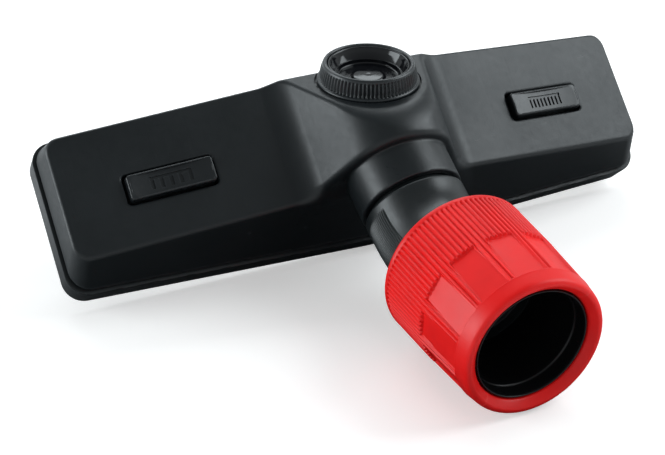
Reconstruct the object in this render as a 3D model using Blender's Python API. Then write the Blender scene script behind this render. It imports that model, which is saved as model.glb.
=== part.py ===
"""Suction grooming head with hose adaptor: a wide T-shaped nozzle, a swivelling elbow and a clamp ring.

Sizes are in millimetres in the head's own frame: X along the nozzle (left is -X), Z square to the
underside (z = 0 is the underside), Y away from the hose. "Near" is the hose side (-Y), "far" is +Y.
POSE lays the head on the floor, on the near edge of its tray and on its clamp ring, and turns
millimetres into metres.
"""

import math

import bmesh
import bpy
from mathutils import Matrix, Vector

# ---------------------------------------------------------------- nozzle sizes
HALF = 120.0  # half the nozzle's length
NEAR_MID, NEAR_END = 58.4, 54.0  # the near edge is a shallow V
FAR_MID, FAR_END = 3.3, 4.3
WING_MID, WING_END = 39.7, 24.1  # height of the wings' top at the middle and at the ends
SLOPE = (WING_MID - WING_END) / HALF
LEAN_NEAR = (13.9, 8.8)  # how far the skirt leans in at the near side: middle, ends
LEAN_FAR = (1.0, 3.2)  # and at the far side
LEAN_END = 2.8
WALL = 2.4
END_WALL = 2.6  # the hood's near and far walls
ROOF_WALL = 3.9  # the wall under the knob
TRAY_TOP = 11.6
TRAY_FLOOR = 2.4
SHELL_FOOT = 13.0
OUTLINE_STATIONS = 6  # steps from an outline's middle to its corner
OUTLINE_ARC = 5  # steps round a corner

# The tray's section, up the outside and down the inside:
# inset of the long sides, inset of the ends, corner radius, height
TRAY_LAYERS = [
    (2.4, 3.9, 8.0, 0.0),
    (0.9, 2.3, 8.6, 0.55),
    (0.35, 1.4, 8.4, 2.0),
    (0.0, 0.0, 7.5, TRAY_TOP - 0.5),
    (0.5, 0.5, 7.5, TRAY_TOP),
    (2.4, 2.4, 5.6, TRAY_TOP),
    (2.6, 2.6, 5.4, TRAY_FLOOR),
]
SCREWS = [(-109, -9), (-109, -38), (109, -9), (109, -38), (-42, -7), (42, -7)]  # x, y

# ---------------------------------------------------------------- hood, buttons and regulator sizes
ARCH_Z, ARCH_R = 45.45, 22.15
ARCH_STEPS = 12
SIDE_SLOPE = math.radians(61.5)  # the hood's straight sides
HOOD_FOOT = 30.0  # half the hood's width where its sides meet the wings
# The soft foot on each wing: distance out from HOOD_FOOT, height above the wing
HOOD_FLARE = [(7.5, -0.4), (4.6, 0.45), (2.2, 1.5), (0.6, 3.2)]

BUTTON_X, BUTTON_Y = 77.8, -24.2
BUTTON_L, BUTTON_W, BUTTON_PROUD = 31.5, 9.6, 2.7
BUTTON_DEPTH = 7.6  # from the wing's top down to the cap's underside
GUIDE_MARGIN, WELL_MARGIN = 2.6, 1.0  # the walls round a button and the well inside them

PORT_R, PORT_CIRCLE = 1.8, 8.4  # the bleed ports and the circle they stand on
KNOB_FLOOR = -0.9  # underside of the knob's disc

# ---------------------------------------------------------------- neck, elbow and ring sizes
NECK_END = Vector((0, -56.5, 49.6))
NECK_AXIS = Vector((0, -0.967, 0.254)).normalized()
NECK_R, NECK_BORE = 19.3, 17.0
CLIP_SEAT_R, CLIP_R = 18.2, 17.9

RING_TILT = math.radians(41.2)
OUTLET_AXIS = Vector((0, -math.cos(RING_TILT), math.sin(RING_TILT)))
OUTLET_POINT = Vector((0, -53.16, 37.48))

TUBE_R, TUBE_BORE = 19.0, 14.6
REACH = 9.5  # how far before and after the corner the tube curves
BEND_STEPS = 6

PANELS, STEPS_PER_PANEL = 12, 6
PANEL_DEPTH = 0.9
PANEL_ROWS = (5, 6)  # the two points of the profile that bound the panels
# Radius, distance along the outlet's axis
CLAMP_PROFILE = [
    (19.7, 44.6), (27.6, 44.6), (28.4, 45.2), (28.3, 46.6), (27.7, 68.3), (27.6, 69.0),
    (26.45, 89.4), (26.35, 90.2), (26.0, 93.6), (25.4, 95.2), (24.4, 96.3), (23.6, 96.3),
    (21.4, 94.2), (21.1, 93.4), (21.1, 91.6), (23.8, 91.6), (23.8, 48.2), (19.7, 48.2),
]

# ---------------------------------------------------------------- pose
LIE = math.radians(43.06)  # the turn that lays the head on the floor
UPRIGHT = Vector((0, math.sin(LIE), math.cos(LIE)))  # the world's up, and the knob's axis
KNOB_POINT = Vector((0, -7.53, 47.67))  # where the knob's axis meets the far slope
REST_DEPTH = 0.2  # how much of the tray's lower near edge is flattened
MID_Y = -79.72  # the laid head's middle

# Height of the flat on which the tray rests, so that the head doesn't rock on a point.
REST = REST_DEPTH + min(
    UPRIGHT.dot(Vector((0, inset - NEAR_MID, z))) for inset, _, _, z in TRAY_LAYERS
)
# The floor touches that flat or the ring's crests, whichever lies lowest.
FLOOR = min(
    [REST]
    + [
        UPRIGHT.dot(OUTLET_POINT + OUTLET_AXIS * along) - radius * math.cos(RING_TILT - LIE)
        for radius, along in CLAMP_PROFILE
    ]
)
POSE = (
    Matrix.Scale(0.001, 4)
    @ Matrix.Translation((0, -MID_Y, -FLOOR))
    @ Matrix.Rotation(LIE, 4, "X")
)


def at(x, y, z=0):
    return Matrix.Translation((x, y, z))


def frame_on(point, axis):
    """Local axes whose Z runs along axis from point; local X stays the head's X."""
    across = Vector((1, 0, 0))
    frame = Matrix((across, axis.cross(across).normalized(), axis)).transposed().to_4x4()
    frame.translation = point
    return frame


KNOB_FRAME = frame_on(KNOB_POINT, UPRIGHT.normalized())
NECK_FRAME = frame_on(NECK_END, NECK_AXIS.normalized())
OUTLET_FRAME = frame_on(OUTLET_POINT, OUTLET_AXIS.normalized())

# ---------------------------------------------------------------- finishes
SMOOTH_ANGLE = math.radians(35)  # edges sharper than this stay sharp
SCREW_STEEL = dict(colour=(0.55, 0.55, 0.56), roughness=0.35, metallic=1.0)
SPRING_STEEL = dict(colour=(0.6, 0.6, 0.6), roughness=0.3, metallic=1.0)


def material(name, colour, roughness, metallic):
    finish = bpy.data.materials.new(name)
    finish.use_nodes = True
    shader = finish.node_tree.nodes["Principled BSDF"]
    shader.inputs["Base Color"].default_value = (*colour, 1)
    shader.inputs["Roughness"].default_value = roughness
    shader.inputs["Metallic"].default_value = metallic
    return finish


def place(obj, colour, roughness, metallic=0.0, frame=Matrix(), smooth=True):
    """Gives the piece its finish and lays it in the world. Its own axes are those of frame."""
    obj.data.materials.clear()
    obj.data.materials.append(material(obj.name + "_finish", colour, roughness, metallic))
    obj.matrix_world = POSE @ frame
    if smooth:
        obj.data.shade_smooth()
        obj.data.set_sharp_from_angle(angle=SMOOTH_ANGLE)


# ---------------------------------------------------------------- solids
def solid(name, verts, faces, frame=Matrix()):
    mesh = bpy.data.meshes.new(name)
    mesh.from_pydata([tuple(frame @ Vector(v)) for v in verts], [], faces)
    bm = bmesh.new()
    bm.from_mesh(mesh)
    bmesh.ops.recalc_face_normals(bm, faces=bm.faces)
    bm.to_mesh(mesh)
    bm.free()
    obj = bpy.data.objects.new(name, mesh)
    bpy.context.scene.collection.objects.link(obj)
    return obj


def index_rings(count, size):
    """Vertex indices of rings that are stored one after another."""
    return [range(i * size, (i + 1) * size) for i in range(count)]


def bands(rings, closed=False):
    """Faces between neighbouring rings of vertex indices. Closed joins the last to the first."""
    faces = []
    following = rings[1:] + (rings[:1] if closed else [])
    for lower, upper in zip(rings, following):
        for j in range(len(lower)):
            k = (j + 1) % len(lower)
            # A ring on the axis repeats one vertex, so repeated corners are dropped.
            face = tuple(dict.fromkeys((lower[j], lower[k], upper[k], upper[j])))
            if len(face) > 2:
                faces.append(face)
    return faces


def box(name, low, high, frame=Matrix()):
    (x0, y0, z0), (x1, y1, z1) = low, high
    verts = [(x, y, z) for x in (x0, x1) for y in (y0, y1) for z in (z0, z1)]
    faces = [
        (0, 1, 3, 2), (4, 6, 7, 5), (0, 4, 5, 1),
        (2, 3, 7, 6), (0, 2, 6, 4), (1, 5, 7, 3),
    ]
    return solid(name, verts, faces, frame)


def revolve(name, profile, segments, frame=Matrix(), ripple=None):
    """Turns a (radius, height) profile round Z. It closes on itself or ends on the axis.

    ripple(i, j) gives what to add to the radius of profile point i at step j.
    """
    verts, rings = [], []
    for i, (radius, height) in enumerate(profile):
        if radius < 1e-6:
            rings.append([len(verts)] * segments)
            verts.append((0, 0, height))
            continue
        rings.append(range(len(verts), len(verts) + segments))
        for j in range(segments):
            angle = 2 * math.pi * j / segments
            r = radius + (ripple(i, j) if ripple else 0)
            verts.append((r * math.cos(angle), r * math.sin(angle), height))
    return solid(name, verts, bands(rings, closed=True), frame)


def cylinder(name, radius, low, high, segments, frame=Matrix()):
    return revolve(name, [(0, low), (radius, low), (radius, high), (0, high)], segments, frame)


def tube(name, stations, segments, frame):
    """A closed surface through circles given as (centre, axis, radius)."""
    across = Vector((1, 0, 0))
    verts = []
    for centre, axis, radius in stations:
        up = axis.cross(across).normalized()
        for j in range(segments):
            angle = 2 * math.pi * j / segments
            verts.append(
                centre + across * (radius * math.cos(angle)) + up * (radius * math.sin(angle))
            )
    return solid(name, verts, bands(index_rings(len(stations), segments), closed=True), frame)


def coil(name, radius, wire, length, turns, steps, sides):
    """A helical spring along Z, with flat-ended wire."""
    count = turns * steps
    path = []
    for i in range(count + 1):
        angle = 2 * math.pi * i / steps
        path.append(
            Vector((radius * math.cos(angle), radius * math.sin(angle), length * i / count))
        )
    verts = []
    for i, point in enumerate(path):
        ahead = path[min(i + 1, count)] - path[max(i - 1, 0)]
        ahead.normalize()
        out = Vector((point.x, point.y, 0)).normalized()
        up = ahead.cross(out).normalized()
        out = up.cross(ahead)
        for j in range(sides):
            angle = 2 * math.pi * j / sides
            verts.append(
                point + out * (wire * math.cos(angle)) + up * (wire * math.sin(angle))
            )
    rings = index_rings(count + 1, sides)
    ends = [tuple(rings[0])[::-1], tuple(rings[-1])]
    return solid(name, verts, ends + bands(rings))


# ---------------------------------------------------------------- cutting and joining
def boolean(target, tool, operation):
    """Applies the Boolean at once and removes the helper."""
    modifier = target.modifiers.new("b", "BOOLEAN")
    modifier.operation = operation
    modifier.solver = "EXACT"
    modifier.object = tool
    graph = bpy.context.evaluated_depsgraph_get()
    mesh = bpy.data.meshes.new_from_object(target.evaluated_get(graph))
    target.modifiers.clear()
    target.data = mesh
    bpy.data.objects.remove(tool, do_unlink=True)


def cut(target, tool):
    boolean(target, tool, "DIFFERENCE")


def join(target, tool):
    boolean(target, tool, "UNION")


def clip(obj, point, normal):
    """Keeps what lies behind a plane, and closes the cut."""
    bm = bmesh.new()
    bm.from_mesh(obj.data)
    geom = list(bm.verts) + list(bm.edges) + list(bm.faces)
    out = bmesh.ops.bisect_plane(
        bm, geom=geom, dist=1e-5, plane_co=point, plane_no=normal, clear_outer=True
    )
    edges = [e for e in out["geom_cut"] if isinstance(e, bmesh.types.BMEdge)]
    bmesh.ops.contextual_create(bm, geom=edges)
    bmesh.ops.recalc_face_normals(bm, faces=bm.faces)
    bm.to_mesh(obj.data)
    bm.free()


def cut_ports(target, first_angle, low, high, frame=Matrix()):
    """Three round ports, evenly spaced round the knob's axis."""
    for i in range(3):
        angle = math.radians(first_angle + 120 * i)
        spot = frame @ at(PORT_CIRCLE * math.cos(angle), PORT_CIRCLE * math.sin(angle))
        cut(target, cylinder("port", PORT_R, low, high, 14, spot))


# ---------------------------------------------------------------- nozzle outlines
def outline(near, far, end, radius):
    """The nozzle's plan, drawn in from its widest. near and far are (middle, ends) pairs."""

    def y_near(x):
        f = abs(x) / HALF
        return (near[0] - NEAR_MID) * (1 - f) + (near[1] - NEAR_END) * f

    def y_far(x):
        f = abs(x) / HALF
        return (FAR_MID - far[0]) * (1 - f) + (FAR_END - far[1]) * f

    def corner(x, y, start):
        angles = [start + math.pi / 2 * i / OUTLINE_ARC for i in range(1, OUTLINE_ARC + 1)]
        return [(x + radius * math.cos(a), y + radius * math.sin(a)) for a in angles]

    straight = HALF - end - radius  # where the corners begin
    xs = [
        -straight + 2 * straight * i / (2 * OUTLINE_STATIONS)
        for i in range(2 * OUTLINE_STATIONS + 1)
    ]
    points = [(x, y_near(x)) for x in xs]
    points += corner(straight, y_near(straight) + radius, -math.pi / 2)
    points += corner(straight, y_far(straight) - radius, 0)
    points += [(x, y_far(x)) for x in xs[-2::-1]]
    points += corner(-straight, y_far(straight) - radius, math.pi / 2)
    points += corner(-straight, y_near(straight) + radius, math.pi)[:-1]
    return points


def even_outline(near, far, end, radius):
    return outline((near, near), (far, far), end, radius)


def top_outline(more, radius):
    """The skirt's upper edge, drawn in by a further more."""
    near = [lean + more for lean in LEAN_NEAR]
    far = [lean + more for lean in LEAN_FAR]
    return outline(near, far, LEAN_END + more, radius)


def wing_top(x):
    return WING_MID - SLOPE * abs(x)


def flat(z):
    return lambda x: z


def below_top(depth):
    return lambda x: wing_top(x) - depth


def loft(name, layers, closed=False):
    """Joins outlines of equal count. A layer is (outline, height function).

    An open loft is capped at both ends, each cap split at x = 0.
    """
    verts = [(x, y, height(x)) for points, height in layers for x, y in points]
    first = layers[0][0]
    count = len(first)
    rings = index_rings(len(layers), count)
    faces = bands(rings, closed)
    if not closed:
        a, b = [j for j, (x, _) in enumerate(first) if abs(x) < 1e-6]
        right = list(range(a, b + 1))
        left = list(range(b, count)) + list(range(a + 1))
        for ring, order in ((rings[0], -1), (rings[-1], 1)):
            for half in (right, left):
                faces.append(tuple(ring[j] for j in half)[::order])
    return solid(name, verts, faces)


# ---------------------------------------------------------------- top housing
def hood(name, wall, end_wall, roof_wall, foot):
    """The hood over the middle: an arch on straight sloping sides, with a soft foot on each wing,
    clipped by its sloping faces. The walls draw it in for the inside."""
    radius = ARCH_R - wall
    foot_x = HOOD_FOOT - wall / math.sin(SIDE_SLOPE)
    side = [
        (foot_x + out, wing_top(foot_x + out) + up - 1.05 * wall) for out, up in HOOD_FLARE
    ]
    start = math.pi / 2 - SIDE_SLOPE
    angles = [
        start + (math.pi - 2 * start) * i / ARCH_STEPS for i in range(ARCH_STEPS + 1)
    ]
    arch = [(radius * math.cos(a), ARCH_Z + radius * math.sin(a)) for a in angles]
    profile = (
        [(side[0][0], foot)]
        + side
        + arch
        + [(-x, z) for x, z in reversed(side)]
        + [(-side[0][0], foot)]
    )
    verts = [(x, y, z) for y in (-54.0, 8.0) for x, z in profile]
    near, far = index_rings(2, len(profile))
    obj = solid(name, verts, [tuple(near), tuple(far)[::-1]] + bands([near, far]))
    near_normal = Vector((0, -1.0, 0.18)).normalized()
    far_normal = Vector((0, 1, 0.04)).normalized()
    clip(obj, Vector((0, -42.7 + end_wall, 41.6)), near_normal)
    clip(obj, KNOB_POINT - UPRIGHT * roof_wall, UPRIGHT)
    clip(obj, Vector((0, 2.35 - end_wall, 38.0)), far_normal)
    return obj


def button_box(name, side, margin, low, high):
    """An upright box round a button, larger than its cap by margin."""
    x, dx, dy = side * BUTTON_X, BUTTON_L / 2 + margin, BUTTON_W / 2 + margin
    return box(name, (x - dx, BUTTON_Y - dy, low), (x + dx, BUTTON_Y + dy, high))


def shell_outside():
    shell = loft(
        "top_housing",
        [
            (even_outline(1.4, 1.4, 1.2, 7.0), flat(SHELL_FOOT)),
            (top_outline(-0.3, 6.4), below_top(1.2)),
            (top_outline(0.3, 6.0), below_top(0.35)),
            (top_outline(1.2, 5.4), below_top(0.0)),
        ],
    )
    # The far slope also takes off the ridge between the wings.
    cut(shell, box("slope_cutter", (-31.0, -40, 0), (31.0, 40, 40), KNOB_FRAME))
    join(shell, hood("hood", wall=0.0, end_wall=0.0, roof_wall=0.0, foot=24.0))
    neck = [
        (0, -26), (NECK_R - 1, -26), (NECK_R, -24), (NECK_R, -0.6), (NECK_R - 0.6, 0), (0, 0),
    ]
    join(shell, revolve("neck", neck, 48, NECK_FRAME))
    return shell


def shell_inside():
    cavity = loft(
        "cavity",
        [
            (even_outline(3.8, 3.8, 3.6, 5.4), flat(SHELL_FOOT - 2)),
            (even_outline(4.4, 3.9, 3.8, 5.2), flat(SHELL_FOOT + 1.5)),
            (top_outline(2.5, 4.4), below_top(2.7)),
        ],
    )
    cut(cavity, box("cavity_cutter", (-33.0, -40, -ROOF_WALL), (33.0, 40, 30), KNOB_FRAME))
    join(cavity, hood("hood_inside", WALL, END_WALL, ROOF_WALL, foot=16.0))
    return cavity


def add_guides_and_posts(shell):
    guide_top = wing_top(BUTTON_X + BUTTON_L / 2 + GUIDE_MARGIN) - 0.8
    for side in (-1, 1):
        join(shell, button_box("guide", side, GUIDE_MARGIN, 18.6, guide_top))
    for x, y in SCREWS:
        top = wing_top(x) - 1.2
        post = [(0, 4.6), (3.0, 4.6), (3.4, top), (0, top)]
        join(shell, revolve("post", post, 16, at(x, y)))
    for side in (-1, 1):
        cut(shell, button_box("well", side, WELL_MARGIN, 15, 60))
    for x, y in SCREWS:
        cut(shell, cylinder("pilot", 1.75, 2, 16, 12, at(x, y)))


def cut_bore(shell):
    """The neck's bore, with the groove that holds the retaining ring."""
    bore = [
        (0, -30),
        (NECK_BORE, -30),
        (NECK_BORE, -13.2),
        (CLIP_SEAT_R, -13.2),
        (CLIP_SEAT_R, -10.4),
        (NECK_BORE, -10.4),
        (NECK_BORE, -0.9),
        (NECK_BORE + 0.5, 2),
        (0, 2),
    ]
    cut(shell, revolve("bore", bore, 48, NECK_FRAME))


def make_top_housing():
    shell = shell_outside()
    cut(shell, shell_inside())
    # The neck's root is solid again, ready for the bore.
    join(shell, cylinder("sleeve", NECK_R - 0.25, -27, -3, 48, NECK_FRAME))
    add_guides_and_posts(shell)
    cut_bore(shell)
    # The knob's seat, its shaft hole and the bleed ports.
    cut(shell, cylinder("seat", 19.5, -1.3, 5, 48, KNOB_FRAME))
    cut(shell, cylinder("shaft_hole", 5.0, -9, 3, 24, KNOB_FRAME))
    cut_ports(shell, 90, -7, 3, KNOB_FRAME)
    place(shell, colour=(0.030, 0.033, 0.036), roughness=0.42)


# ---------------------------------------------------------------- base tray
def make_base_tray():
    tray = loft(
        "base_tray",
        [
            (even_outline(inset, inset, end, radius), flat(z))
            for inset, end, radius, z in TRAY_LAYERS
        ],
    )
    clip(tray, UPRIGHT * REST, -UPRIGHT)
    cut(tray, box("mouth", (-38, -45, -2), (38, -13, 5)))
    for side in (-1, 1):
        slot = at(side * BUTTON_X, BUTTON_Y)
        cut(tray, box("comb_slot", (-27, -7, -2), (27, 7, 5), slot))
    countersunk = [(0, -1), (3.3, -1), (3.3, 1.3), (1.8, 1.3), (1.8, 4), (0, 4)]
    for x, y in SCREWS:
        cut(tray, revolve("screw_hole", countersunk, 16, at(x, y)))
    place(tray, colour=(0.026, 0.028, 0.030), roughness=0.45)


def make_tray_seal():
    """A flat band between the tray's rim and the housing's foot."""
    outside = even_outline(1.5, 1.5, 1.5, 6.6)
    inside = even_outline(3.6, 3.6, 3.6, 5.4)
    low, high = flat(TRAY_TOP + 0.3), flat(SHELL_FOOT - 0.3)
    layers = [(outside, low), (outside, high), (inside, high), (inside, low)]
    seal = loft("tray_seal", layers, closed=True)
    place(seal, colour=(0.010, 0.010, 0.011), roughness=0.8)


def make_housing_screws():
    profile = [
        (0, 0.25), (2.7, 0.25), (2.95, 0.6), (2.95, 1.0),
        (1.4, 1.0), (1.4, 13.0), (0.5, 14.2), (0, 14.2),
    ]
    for i, (x, y) in enumerate(SCREWS):
        screw = revolve("housing_screw_%d" % (i + 1), profile, 14)
        cut(screw, box("slot", (-0.4, -4, -1), (0.4, 4, 0.6)))
        place(screw, **SCREW_STEEL, frame=at(x, y))


# ---------------------------------------------------------------- buttons and combs
def make_button(name, side, teeth, tooth_half):
    """The cap's top lies parallel to the wing. The origin is on the underside's plane, z = 0,
    on the slide's axis."""
    centre = side * BUTTON_X
    foot = wing_top(centre) - BUTTON_DEPTH

    def top(x):
        return wing_top(centre + x) + BUTTON_PROUD

    verts = []
    # Foot, shoulder and top: how far drawn in, and how far below the top (None is the foot)
    for inset, drop in ((0.0, None), (0.0, 0.8), (0.7, 0.0)):
        for sign_x, sign_y in ((-1, -1), (1, -1), (1, 1), (-1, 1)):
            x = sign_x * (BUTTON_L / 2 - inset)
            y = sign_y * (BUTTON_W / 2 - inset)
            verts.append((x, y, foot if drop is None else top(x) - drop))
    cap = solid(name, verts, [(3, 2, 1, 0), (8, 9, 10, 11)] + bands(index_rings(3, 4)))
    join(cap, box("stem", (-4.5, -2.2, 12.6), (4.5, 2.2, foot + 2)))
    join(cap, box("peg", (-2.5, -1.2, 9.4), (2.5, 1.2, 14.5)))
    # A comb pictogram sunk into the cap: one long bar with short teeth.
    span = 15.0
    pitch = (span - 1.0) / (teeth - 1)
    on_top = at(0, 0, top(0)) @ Matrix.Rotation(math.atan(SLOPE) * side, 4, "Y")
    half = span / 2 + 0.3
    cut(cap, box("spine", (-half, 1.2, -0.5), (half, 2.2, 1.5), on_top))
    for i in range(teeth):
        x = -span / 2 + 0.5 + pitch * i
        low, high = (x - tooth_half, -2.5, -0.44), (x + tooth_half, 1.7, 1.3)
        cut(cap, box("tooth", low, high, on_top))
    place(
        cap,
        colour=(0.024, 0.026, 0.028),
        roughness=0.38,
        frame=at(centre, BUTTON_Y),
        smooth=False,
    )


def make_comb(name, side, columns, radius):
    """A carrier plate with two rows of blunt pins that pass through the slot in the tray."""
    plate = box(name, (-31.5, -5.6, 10.0), (31.5, 5.6, 12.2))
    cut(plate, box("peg_hole", (-2.8, -1.5, 8), (2.8, 1.5, 14)))
    pin = [(0, 1.0), (radius * 0.5, 1.0), (radius, 2.2), (radius * 1.2, 10.6), (0, 10.6)]
    row_length = 47.0
    for y in (-4.2, 4.2):
        for i in range(columns):
            x = -row_length / 2 + row_length * i / (columns - 1)
            join(plate, revolve("pin", pin, 6, at(x, y)))
    place(
        plate,
        colour=(0.05, 0.05, 0.052),
        roughness=0.5,
        frame=at(side * BUTTON_X, BUTTON_Y),
        smooth=False,
    )


def make_button_springs():
    """A spring under each end of each comb's plate."""
    for side, label in ((-1, "left"), (1, "right")):
        for x, end in ((-29.2, "a"), (29.2, "b")):
            name = "%s_button_spring_%s" % (label, end)
            spring = coil(name, radius=1.9, wire=0.35, length=3.2, turns=4, steps=9, sides=5)
            place(spring, **SPRING_STEEL, frame=at(side * BUTTON_X + x, BUTTON_Y, 6.05))


# ---------------------------------------------------------------- regulator
def make_knob():
    boss_foot = KNOB_FLOOR - 5.3
    profile = [
        (1.8, boss_foot), (4.6, boss_foot), (4.6, KNOB_FLOOR), (18.3, KNOB_FLOOR),
        (18.9, -0.5), (18.9, 0.7), (18.1, 1.0), (17.4, 6.0), (17.2, 6.6), (16.7, 7.2),
        (15.7, 7.2), (15.2, 6.7), (15.2, 0.0), (0, 0.0), (0, -1.3), (1.8, -1.3),
    ]
    grip_rows = (6, 7)  # the foot and the top of the fluted side

    def flutes(i, j):
        return -0.4 if i in grip_rows and j % 2 else 0.0

    knob = revolve("regulator_knob", profile, 72, ripple=flutes)
    place(knob, colour=(0.035, 0.037, 0.040), roughness=0.4, frame=KNOB_FRAME)


def make_knob_cup():
    """The dished insert in the knob's top."""
    profile = [
        (0, 0.3), (14.9, 0.3), (14.9, 6.4), (14.4, 6.4), (12.2, 2.7),
        (11.7, 2.9), (11.2, 1.3), (6.2, 1.1), (5.4, 2.0), (0, 2.2),
    ]
    cup = revolve("knob_cup", profile, 40)
    place(cup, colour=(0.012, 0.012, 0.014), roughness=0.12, frame=KNOB_FRAME)


def make_valve_rotor():
    profile = [(4.9, -7.0), (11.6, -7.0), (11.6, -5.4), (4.9, -5.4)]
    rotor = revolve("valve_rotor", profile, 32)
    cut_ports(rotor, 30, -9, -3)
    place(rotor, colour=(0.10, 0.10, 0.11), roughness=0.5, frame=KNOB_FRAME)


def make_friction_washer():
    profile = [(5.1, -5.1), (6.2, -5.1), (6.2, -4.5), (5.1, -4.5)]
    washer = revolve("friction_washer", profile, 24)
    place(washer, **SPRING_STEEL, frame=KNOB_FRAME)


def make_regulator_screw():
    profile = [
        (0, -8.9), (6.6, -8.9), (7.0, -8.5), (7.0, -7.5), (1.5, -7.5), (1.5, -1.8), (0, -1.8),
    ]
    screw = revolve("regulator_screw", profile, 20)
    place(screw, **SCREW_STEEL, frame=KNOB_FRAME)


# ---------------------------------------------------------------- neck and elbow
def bend_stations():
    """Centre and axis at each step of the curve from the neck's axis to the outlet's."""
    # The two axes meet in the plane x = 0.
    det = NECK_AXIS.y * OUTLET_AXIS.z - NECK_AXIS.z * OUTLET_AXIS.y
    gap = OUTLET_POINT - NECK_END
    meeting = NECK_END + NECK_AXIS * ((gap.y * OUTLET_AXIS.z - gap.z * OUTLET_AXIS.y) / det)
    cosine = NECK_AXIS.dot(OUTLET_AXIS)
    turn = math.acos(cosine)
    radius = REACH / math.tan(turn / 2)
    inward = (OUTLET_AXIS - NECK_AXIS * cosine).normalized()
    centre = meeting - NECK_AXIS * REACH + inward * radius
    stations = []
    for i in range(BEND_STEPS + 1):
        c, s = math.cos(turn * i / BEND_STEPS), math.sin(turn * i / BEND_STEPS)
        point = centre - inward * (radius * c) + NECK_AXIS * (radius * s)
        stations.append((point, NECK_AXIS * c + inward * s))
    return stations


def make_elbow():
    # Distance beyond the neck's end, outer radius. The grooves hold the clip and the O-ring.
    spigot = [
        (-16.0, 16.2), (-15.5, 16.6), (-13.0, 16.6), (-12.9, 15.7), (-10.7, 15.7),
        (-10.6, 16.6), (-6.6, 16.6), (-6.5, 15.3), (-4.5, 15.3), (-4.4, 16.6),
        (1.9, 16.6), (2.0, TUBE_R - 0.5), (2.5, TUBE_R),
    ]
    # Distance along the outlet's axis, radius: up the outside, then back down the inside.
    outlet = [
        (48.6, TUBE_R), (48.7, 23.4), (50.4, 23.4), (50.5, 21.2), (62.5, 21.2),
        (63.0, 20.7), (63.0, 19.5), (56.6, 19.3), (56.5, TUBE_BORE),
    ]
    bend = bend_stations()
    stations = [(NECK_END + NECK_AXIS * d, NECK_AXIS, r) for d, r in spigot]
    stations += [(point, axis, TUBE_R) for point, axis in bend]
    stations += [(OUTLET_POINT + OUTLET_AXIS * d, OUTLET_AXIS, r) for d, r in outlet]
    stations += [(point, axis, TUBE_BORE) for point, axis in reversed(bend)]
    stations.append((NECK_END + NECK_AXIS * spigot[0][0], NECK_AXIS, TUBE_BORE))
    elbow = tube("elbow_tube", stations, 32, NECK_FRAME.inverted())
    place(elbow, colour=(0.028, 0.030, 0.033), roughness=0.4, frame=NECK_FRAME)


def make_neck_clip():
    """The split retaining ring."""
    profile = [(16.0, -12.7), (CLIP_R, -12.7), (CLIP_R, -10.9), (16.0, -10.9)]
    ring = revolve("neck_clip", profile, 36)
    cut(ring, box("split", (-3.0, -20, -14), (3.0, -10, -9)))
    place(ring, colour=(0.55, 0.55, 0.56), roughness=0.3, metallic=1.0, frame=NECK_FRAME)


def make_neck_seal_ring():
    angles = [2 * math.pi * i / 6 for i in range(6)]
    profile = [(16.0 + 0.6 * math.cos(a), -5.5 + 0.6 * math.sin(a)) for a in angles]
    o_ring = revolve("neck_seal_ring", profile, 28)
    place(o_ring, colour=(0.012, 0.012, 0.012), roughness=0.7, frame=NECK_FRAME)


def make_throat_bush():
    profile = [
        (16.7, -18.5), (16.7, -25.5), (16.2, -26.6), (15.6, -26.6), (14.8, -24.5), (14.6, -18.5),
    ]
    bush = revolve("throat_bush", profile, 36)
    place(bush, colour=(0.08, 0.08, 0.085), roughness=0.5, frame=NECK_FRAME)


# ---------------------------------------------------------------- clamp ring and liner
def make_clamp_ring():
    """The ring's outer zone has recessed panels between raised lands."""

    def panels(i, j):
        recessed = i in PANEL_ROWS and j % STEPS_PER_PANEL in (0, 1, 5)
        return -PANEL_DEPTH if recessed else 0.0

    clamp = revolve("clamp_ring", CLAMP_PROFILE, PANELS * STEPS_PER_PANEL, ripple=panels)
    turned = OUTLET_FRAME @ Matrix.Rotation(math.radians(2.5), 4, "Z")
    place(clamp, colour=(0.62, 0.018, 0.022), roughness=0.38, frame=turned)


def make_hose_liner():
    profile = [
        (19.3, 63.4), (22.6, 63.4), (22.6, 65.6), (20.5, 66.0), (20.7, 93.2),
        (20.4, 93.9), (19.9, 93.7), (19.8, 88.4), (19.3, 87.8),
    ]
    liner = revolve("hose_liner", profile, 48)
    place(liner, colour=(0.016, 0.016, 0.018), roughness=0.35, frame=OUTLET_FRAME)


def make_wedge_ring():
    profile = [(21.6, 72.0), (23.4, 72.0), (23.4, 82.0), (21.9, 82.0)]
    wedge = revolve("wedge_ring", profile, 40)
    place(wedge, colour=(0.09, 0.09, 0.095), roughness=0.45, frame=OUTLET_FRAME)


def make_hose_seal():
    profile = [
        (15.4, 57.0), (18.9, 57.0), (18.9, 60.2), (18.2, 60.2), (17.6, 58.6), (15.4, 58.4),
    ]
    seal = revolve("hose_seal", profile, 40)
    place(seal, colour=(0.014, 0.014, 0.015), roughness=0.7, frame=OUTLET_FRAME)


# ---------------------------------------------------------------- build
for old in list(bpy.data.objects):
    bpy.data.objects.remove(old, do_unlink=True)

make_top_housing()
make_base_tray()
make_tray_seal()
make_housing_screws()
make_button("left_button", -1, teeth=5, tooth_half=0.55)
make_button("right_button", 1, teeth=9, tooth_half=0.38)
make_comb("left_comb", -1, columns=6, radius=1.1)
make_comb("right_comb", 1, columns=12, radius=0.7)
make_button_springs()
make_knob()
make_knob_cup()
make_valve_rotor()
make_friction_washer()
make_regulator_screw()
make_elbow()
make_neck_clip()
make_neck_seal_ring()
make_throat_bush()
make_clamp_ring()
make_hose_liner()
make_wedge_ring()
make_hose_seal()
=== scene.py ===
"""Looks for the suction grooming head: moulded skins, ribs, panels and finishes around its CAD frame.

Sizes are in millimetres in the head's own axes: X along the nozzle, Y from the near side (-) to the
far side (+), Z up from the underside. POSE tips the head about X so that its near edge is low and
its hose outlet points along -Y, and lays it on the floor in metres.
"""

import math

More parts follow.
